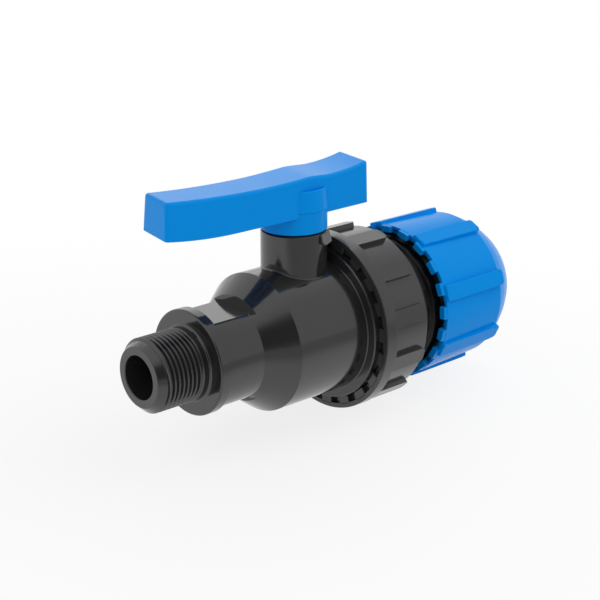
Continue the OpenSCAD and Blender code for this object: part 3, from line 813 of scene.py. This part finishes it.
@dataclass
class CompressionNut(Moulding):
    """The blue nut, with its front teeth, grip ribs and sloping nose.

    Attributes:
        front_r: Radius of the shell in front.
        back_r: Radius of the shell where its nose starts.
        bore_r: Radius over the thread inside.
        rim: Depth and inner radius of the thin rim in front.
        tooth_r: Inner and outer radius of the teeth.
        nose_len: Length of the nose.
        nose_end: Length of the nose's last slope, and its first radius.
        nose_bulge: How far the nose swells past a straight cone.
        face_r: Radius of the rear face.
        opening: Length and radius of the pipe's opening.
        seat_r: Radius of the cone inside, at its two ends.
        ribs: Number of ribs.
        rib_phase: Angle of one rib's middle, in degrees.
        rib_height: How far the ribs stand past that radius.
        rib_fall: How much lower the ribs are at the rear.
        rib_corner: Radius that rounds the ribs' rear corners.
    """

    name, body, slot, replaces = "pipe_nut_shell", "pipe_nut", Slot.BLUE, ("compression_nut",)

    front_r: float = 29.95
    back_r: float = 29.15
    bore_r: float = 26.3
    rim: Point = (1.9, 28.9)
    tooth_r: Span = (27.6, 29.9)
    nose_len: float = 13.9
    nose_end: Point = (0.8, 21.5)
    nose_bulge: float = 0.55
    face_r: float = 20.6
    opening: Point = (5.8, 17.0)
    seat_r: Span = (20.5, 25.5)
    ribs: int = 8
    rib_phase: float = 18.0
    rib_height: float = 1.05
    rib_fall: float = 0.15
    rib_corner: float = 1.4

    def shape(self, mesh: Mesh) -> None:
        """Turn the shell, then add the teeth and the ribs.

        Args:
            mesh: Mesh of the nut.
        """
        front, end, mouth = self.layout.comp_front, self.layout.comp_end, self.layout.mouth_x
        nose, last, last_r = end - self.nose_len, end - self.nose_end[0], self.nose_end[1]
        swell = [Corner(nose + share * (last - nose),
                        self.back_r + share * (last_r - self.back_r) + self.nose_bulge, 8.0)
                 for share in (0.33, 0.67)]
        rim, rim_r, seat, hole_r = front + self.rim[0], self.rim[1], end - self.opening[0], self.opening[1]
        turn_outline(mesh, rounded([
            Corner(front, rim_r), Corner(front, self.front_r, 0.1), Corner(nose, self.back_r, 1.2), *swell,
            Corner(last, last_r, 0.6), Corner(end, self.face_r, 0.4), Corner(end, hole_r, 0.6),
            Corner(seat, hole_r, EDGE), Corner(seat, self.seat_r[0]), Corner(mouth + 1.8, self.seat_r[1]),
            Corner(mouth + 0.6, self.bore_r), Corner(rim, self.bore_r, EDGE), Corner(rim, rim_r)]))
        foot_r, top_r = self.tooth_r
        Bar((front - TOOTH_LEN, front + OVERLAP), FULL_TURN * top_r / TEETH - TOOTH_GAP, foot_r,
            lambda x: top_r, (0.5, 0.05), 0.25, lengths=1).spread(mesh, TEETH, TEETH_PHASE)
        start, stop = front + 0.15, nose + 1.1
        Bar((start, stop), RIB_WIDTH, self.back_r - 0.75,
            lambda x: self.front_r + self.rib_height - self.rib_fall * (x - start) / (stop - start),
            (0.6, self.rib_corner), 0.55).spread(mesh, self.ribs, self.rib_phase)


@dataclass
class ConnectorShank(Moulding):
    """The black connector, with its flange, shank, coarse thread and pipe socket.

    Attributes:
        flange_len: Length of the flange.
        shank: Rear end of the plain shank, and its radius.
        thread_start: Start of the thread's crests and of its groove.
        thread_stop: From the thread's end to the rear face.
        thread_r: Radius over the crests of the thread.
        thread_steps: Number of steps between the thread's rings of faces.
        pitch: Pitch of the thread.
        depth: Depth of the thread.
        seal: Depth and radius of the pocket for the pipe's seal.
        socket: Depth and radius of the pipe's socket.
        bore_r: Radius of the flow bore.
        face_bore: Length and front radius of the cone in front of it.
    """

    name, body, slot, replaces = "connector_shank", "connector", Slot.BLACK, ("end_connector",)

    flange_len: float = 4.0
    shank: Point = (12.4, 27.9)
    thread_start: Span = (12.9, 13.2)
    thread_stop: float = 1.2
    thread_r: float = 26.0
    thread_steps: int = 120
    pitch: float = 6.0
    depth: float = 1.3
    seal: Point = (8.0, 20.6)
    socket: Point = (26.0, 16.3)
    bore_r: float = 13.0
    face_bore: Point = (9.0, 10.4)

    def shape(self, mesh: Mesh) -> None:
        """Turn the connector and cut its thread.

        Args:
            mesh: Mesh of the connector.
        """
        face, mouth, steps = self.layout.conn_x, self.layout.mouth_x, self.thread_steps
        flange, (crest, first), last = face + self.flange_len, self.thread_start, mouth - self.thread_stop
        first += face
        thread = [Corner(first + (last - first) * i / steps, self.thread_r) for i in range(steps + 1)]
        seal, socket = mouth - self.seal[0], mouth - self.socket[0]
        verts = turn_outline(mesh, rounded([
            Corner(face, self.face_bore[1], EDGE), Corner(face, UNION_R, EDGE), Corner(flange, UNION_R, EDGE),
            Corner(flange, self.shank[1], EDGE), Corner(face + self.shank[0], self.shank[1], 0.4),
            Corner(face + crest, self.thread_r, EDGE), *thread, Corner(mouth, self.thread_r - 1, EDGE),
            Corner(mouth, self.seal[1], 0.4), Corner(seal, self.seal[1]), Corner(seal, self.socket[1], EDGE),
            Corner(socket, self.socket[1]), Corner(socket, self.bore_r, EDGE),
            Corner(face + self.face_bore[0], self.bore_r)]))
        reshape(verts, lambda x, turns, radius: radius if x <= first or radius <= self.thread_r - 0.6 else
                radius - self.depth * groove(x / self.pitch + turns, 0.25, 0.35) * min((x - first) / 2, 1.0))


@dataclass
class Lever(Moulding):
    """The blue handle: a hollow bar with a hub under it. Its places are counted from the stem's axis.

    Attributes:
        reach_front: Length of the long arm.
        reach_back: Length of the short arm.
        half: Half the bar's width over the stem.
        narrow: What half the width loses towards the long and the short end.
        skew: Angle of the bar's ends out of square, in degrees.
        lean: How far the long end's foot stands out.
        draft: What half the width loses from foot to top.
        under_z: Height of the underside.
        arch: Where the underside starts to rise, and by how much.
        saddle_z: Height of the top's lowest place.
        saddle: Place of the saddle, and the top's rise from it to the long end.
        crest: Place of the crest, and the top's rise from the saddle.
        facet: Where the top turns up to the short end, and its fall from the crest.
        tip_rise: The top's rise from there to the short end.
        wall: Thickness of the bar's wall.
        edges: Radii that round the outer and the inner shell.
        cuts: Number of cuts along the bar.
        ribs: Number of ribs across the long arm.
        hub_r: Radius of the hub.
        hub_bore: Radius of the hole in the hub.
        hub_z: Heights of the hub's foot, line and dished top.
        hub_cone: Radii of the hub at that line and its top.
    """

    name, body, slot, replaces = "lever_handle", "handle_and_ball", Slot.BLUE, ("handle",)

    reach_front: float = 61.5
    reach_back: float = 29.8
    half: float = 10.3
    narrow: Span = (1.6, 0.4)
    skew: float = 12.0
    lean: float = 0.9
    draft: float = 0.8
    under_z: float = 45.6
    arch: Point = (-32.7, 2.3)
    saddle_z: float = 58.75
    saddle: Point = (-18.2, 2.1)
    crest: Point = (1.8, 0.75)
    facet: Point = (11.0, 0.6)
    tip_rise: float = 2.1
    wall: float = 2.6
    edges: Span = (1.15, 0.8)
    cuts: int = 46
    ribs: int = 3
    hub_r: float = 12.07
    hub_bore: float = 4.6
    hub_z: tuple[float, float, float] = (39.2, 47.2, 55.2)
    hub_cone: Span = (12.4, 11.65)

    def shape(self, mesh: Mesh) -> None:
        """Build the hollow bar, its ribs and its hub.

        Args:
            mesh: Mesh of the handle.
        """
        for inset, radius in zip((0.0, self.wall), self.edges):
            self._shell(mesh, inset, radius)
        bmesh.ops.bridge_loops(mesh, edges=[e for e in mesh.edges if e.is_boundary])
        half, arm = self._section(-30)[0] - 1.2, self.reach_front - self.hub_r
        for i in range(1, self.ribs + 1):
            x = -self.hub_r - i * arm / (self.ribs + 1)
            self._rib(mesh, (x, -half), (x, half))
        self._rib(mesh, (self.wall / 2 - self.reach_front, 0.0), (self.reach_back - self.wall / 2, 0.0))
        self._hub(mesh)

    def _section(self, x: float) -> tuple[float, float, float]:
        """Give the bar's size at a place.

        Args:
            x: Place from the stem axis.

        Returns:
            Half its width, and the heights of its underside and its top.
        """
        narrow, reach = (self.narrow[0], self.reach_front) if x < 0 else (-self.narrow[1], self.reach_back)
        (arch, arch_rise), (saddle, front_rise) = self.arch, self.saddle
        (crest, rise), (facet, fall) = self.crest, self.facet
        low = self.under_z + (arch_rise * ((x - arch) / (self.reach_front + arch)) ** 2 if x < arch else 0.0)
        if x < saddle:
            lift = front_rise * ((x - saddle) / (self.reach_front + saddle)) ** 2
        elif x < crest:
            lift = rise * ((x - saddle) / (crest - saddle)) ** 1.6
        elif x < facet:
            lift = rise - fall * (x - crest) / (facet - crest)
        else:
            lift = rise - fall + self.tip_rise * ((x - facet) / (self.reach_back - facet)) ** 2
        return self.half + narrow * x / (reach + 8), low, self.saddle_z + lift

    def _shell(self, mesh: Mesh, inset: float, radius: float) -> None:
        """Build the bar's outer or inner shell, open below.

        Args:
            mesh: Mesh of the handle.
            inset: How far the shell is drawn in.
            radius: Radius of its rounded edges.
        """
        shell = bmesh.new()
        cube = bmesh.ops.create_cube(shell, size=1.0, matrix=Matrix.Translation((0.5, 0.0, 0.5)))["verts"]
        long_edges = [e for e in {e for v in cube for e in v.link_edges}
                      if abs(e.verts[0].co.x - e.verts[1].co.x) > 0.5]
        bmesh.ops.subdivide_edges(shell, edges=long_edges, cuts=self.cuts, use_grid_fill=True)
        floor = [f for f in shell.faces if all(v.co.z < 0.01 for v in f.verts)]
        bmesh.ops.delete(shell, geom=floor, context="FACES")
        slope = math.tan(math.radians(self.skew))
        for vert in shell.verts:
            share, side, lift = vert.co
            first, last = inset - self.reach_front - self.lean * (1 - lift), self.reach_back - inset
            x = first + (last - first) * share
            half, low, top = self._section(x)
            y = 2 * side * (half - self.draft * lift - inset)
            vert.co = Vector((self.layout.stem_x + x + y * slope, y, low + (top - inset - low) * lift))
        bmesh.ops.recalc_face_normals(shell, faces=shell.faces)
        sharp = [e for e in shell.edges if e.is_manifold and e.calc_face_angle() > math.radians(40)]
        bmesh.ops.bevel(shell, geom=sharp, offset=radius, segments=5, profile=0.5, affect="EDGES",
                        material=-1)
        data = bpy.data.meshes.new("shell")
        shell.to_mesh(data)
        shell.free()
        mesh.from_mesh(data)
        bpy.data.meshes.remove(data)

    def _rib(self, mesh: Mesh, start: Point, end: Point) -> None:
        """Stand a rib inside the bar.

        Args:
            mesh: Mesh of the handle.
            start: The rib's first end: its place along the bar and across it.
            end: The rib's last end.
        """
        steps, half, slope = 24, 1.0, math.tan(math.radians(self.skew))
        wide = Vector((half, 0)) if start[0] == end[0] else Vector((0, half))
        rows: list[list[Vert]] = []
        for i in range(steps + 1):
            along, y = (one + (two - one) * i / steps for one, two in zip(start, end))
            low, high = self.under_z + 2.0, self._section(along)[2] - self.wall / 2
            spot = Vector((self.layout.stem_x + along + y * slope, y))
            near, far = spot - wide, spot + wide
            rows.append([mesh.verts.new((*place, z))
                         for place, z in ((near, low), (far, low), (far, high), (near, high))])
        for one, two in zip(rows, rows[1:]):
            for k in range(4):
                mesh.faces.new((one[k], one[(k + 1) % 4], two[(k + 1) % 4], two[k]))
        mesh.faces.new(rows[0])
        mesh.faces.new(rows[-1])

    def _hub(self, mesh: Mesh) -> None:
        """Stand the hub under the bar.

        Args:
            mesh: Mesh of the handle.
        """
        (bottom, line, top), (line_r, top_r), bore = self.hub_z, self.hub_cone, self.hub_bore
        outline = rounded([
            Corner(bottom, bore), Corner(bottom, self.hub_r, 0.5), Corner(line, self.hub_r, 0.05),
            Corner(line + 0.02, line_r, 0.15), Corner(top, top_r, 0.4), Corner(top - 1.2, 9.6),
            Corner(top - 1.2, bore)])
        for vert in turn_outline(mesh, outline):
            height, y, z = vert.co
            vert.co = Vector((self.layout.stem_x + z, y, height))


@dataclass(frozen=True)
class Lamp:
    """A square softbox that faces the valve.

    Attributes:
        name: Name of the lamp.
        place: Where it hangs, in millimetres.
        size: Width of the softbox, in metres.
        power: Power of the lamp, in watts.
        mirrored: Whether glossy surfaces mirror the lamp.
    """

    name: str
    place: Place
    size: float
    power: float
    mirrored: bool = True

    def hang(self) -> None:
        """Hang the lamp."""
        light = bpy.data.lights.new(self.name, "AREA")
        light.shape = "SQUARE"
        light.size = self.size
        light.energy = self.power
        lamp = bpy.data.objects.new(self.name, light)
        lamp.visible_glossy = self.mirrored
        bpy.context.scene.collection.objects.link(lamp)
        spot = Vector(self.place) * MM
        turn = (spot - Vector(LAMP_AIM) * MM).to_track_quat("Z", "Y").to_matrix().to_4x4()
        lamp.matrix_world = Matrix.Translation(spot) @ turn


LAMP_AIM = (55, 0, 5)
LAMPS = (
    Lamp("key_softbox", (560, -300, 640), 0.9, 2.6, mirrored=False),
    Lamp("back_softbox", (420, 520, 520), 0.8, 0.9),
    Lamp("left_softbox", (-600, -120, 420), 0.8, 1.1, mirrored=False),
)


@dataclass
class Studio:
    """Camera, lamps, floor and backdrop.

    Attributes:
        target: Place that the camera faces, in millimetres.
        azimuth: Angle of the camera round the valve, in degrees.
        elevation: Angle of the camera above the flow axis, in degrees.
        distance: Distance of the camera from its target, in millimetres.
        lens: Focal length of the camera.
        roll: Turn of the camera about its view, in degrees.
        soft_light: Strength of the even light from all sides.
        dim_sides: Direction, span and level of each dim side.
        floor_z: Height of the floor, in millimetres.
        floor_size: Half the floor's width, in metres.
        floor_fade: Distances over which the floor's shadow fades, in metres.
        floor_share: Share of white in the floor at those distances.
    """

    target: Place = (53.129, 0.0, 10.822)
    azimuth: float = -42.626
    elevation: float = 18.742
    distance: float = 523.46
    lens: float = 85.53
    roll: float = 0.05
    soft_light: float = 0.55
    dim_sides: tuple[tuple[Place, Span, float], ...] = (
        ((-0.64, -0.70, 0.32), (0.86, 0.985), 0.1),
        ((0.70, -0.70, 0.15), (0.2, 0.8), 0.72),
        ((-0.64, -0.70, -0.1), (0.3, 0.8), 0.6),
    )
    floor_z: float = -34.2
    floor_size: float = 3.0
    floor_fade: Span = (0.05, 0.3)
    floor_share: Span = (0.8, 1.0)

    def build(self) -> None:
        """Set the camera, the world, the lamps and the floor."""
        self._camera()
        self._world()
        for lamp in LAMPS:
            lamp.hang()
        self._floor()

    def _camera(self) -> None:
        """Place the camera at the photograph's view."""
        az, el = math.radians(self.azimuth), math.radians(self.elevation)
        back = Vector((math.sin(az) * math.cos(el), -math.cos(az) * math.cos(el), math.sin(el)))
        camera = bpy.data.cameras.new("camera")
        camera.lens = self.lens
        seat = bpy.data.objects.new("camera", camera)
        bpy.context.scene.collection.objects.link(seat)
        spot = Matrix.Translation((Vector(self.target) + back * self.distance) * MM)
        turn = back.to_track_quat("Z", "Y").to_matrix().to_4x4()
        seat.matrix_world = spot @ turn @ Matrix.Rotation(math.radians(self.roll), 4, "Z")
        bpy.context.scene.camera = seat

    def _world(self) -> None:
        """Light the scene softly, with a white ground for the camera and dim sides in reflections."""
        world = bpy.data.worlds.new("studio")
        bpy.context.scene.world = world
        world.use_nodes = True
        graph = Graph(world.node_tree)
        base = world.node_tree.nodes["Background"]
        graph.feed(base, {"Color": WHITE, "Strength": self.soft_light})
        level = graph.combined("MULTIPLY", *(graph.dimmed(*side) for side in self.dim_sides))
        white = graph.white("Background", level)
        graph.surface("World Output", graph.seen(), base.outputs["Background"], white)

    def _floor(self) -> None:
        """Lay the pale floor, which the camera sees as white apart from its shadow."""
        mesh = bmesh.new()
        bmesh.ops.create_grid(mesh, x_segments=1, y_segments=1, size=self.floor_size,
                              matrix=Matrix.Translation((0, 0, self.floor_z * MM)))
        data = bpy.data.meshes.new("floor")
        mesh.to_mesh(data)
        mesh.free()
        floor = bpy.data.objects.new("floor", data)
        bpy.context.scene.collection.objects.link(floor)
        material = bpy.data.materials.new("pale_floor")
        material.use_nodes = True
        graph = Graph(material.node_tree)
        shader = material.node_tree.nodes["Principled BSDF"]
        graph.feed(shader, {"Base Color": PALE, "Roughness": 0.7})
        white = graph.white("Emission", graph.dimmed((0.0, -1.0, 0.0), (0.05, 0.16), 0.5, "Object"))
        place = graph.add("TexCoord").outputs["Object"]
        away = graph.add("VectorMath", {0: place}, operation="LENGTH").outputs["Value"]
        fade = graph.mapped(away, self.floor_fade, self.floor_share)
        graph.surface("Material Output", graph.combined("MULTIPLY", graph.seen(), fade),
                      shader.outputs["BSDF"], white)
        data.materials.append(material)


CAD_NODES: dict[Slot, tuple[str, ...]] = {
    Slot.BALL: ("ball",),
    Slot.BODY: ("seat_carrier", "stem"),
    Slot.BLACK: ("thrust_ring",),
    Slot.GRIP: ("grip_ring",),
    Slot.SEAT: ("seat_inlet", "seat_outlet", "stem_washer"),
    Slot.SEAL: ("seat_inlet_oring", "seat_outlet_oring", "carrier_oring", "stem_oring_lower",
                "stem_oring_upper", "connector_oring", "pipe_seal"),
}


def main() -> None:
    """Dress the CAD nodes that stay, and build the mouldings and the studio."""
    logging.basicConfig(level=logging.INFO, format="%(name)s %(message)s")
    finishes = {slot: finish.material() for slot, finish in FINISHES.items()}
    layout = Layout.from_frame()
    LOG.info("%s", layout)
    for slot, names in CAD_NODES.items():
        for name in names:
            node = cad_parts[name]
            node.data.materials.clear()
            node.data.materials.append(finishes[slot])
    for moulding in (BodyMoulding, UnionNut, CompressionNut, ConnectorShank, Lever):
        moulding(layout).build(finishes)
    Studio().build()
    bpy.context.scene.view_settings.view_transform = "Standard"


if __name__ == "__main__":
    main()
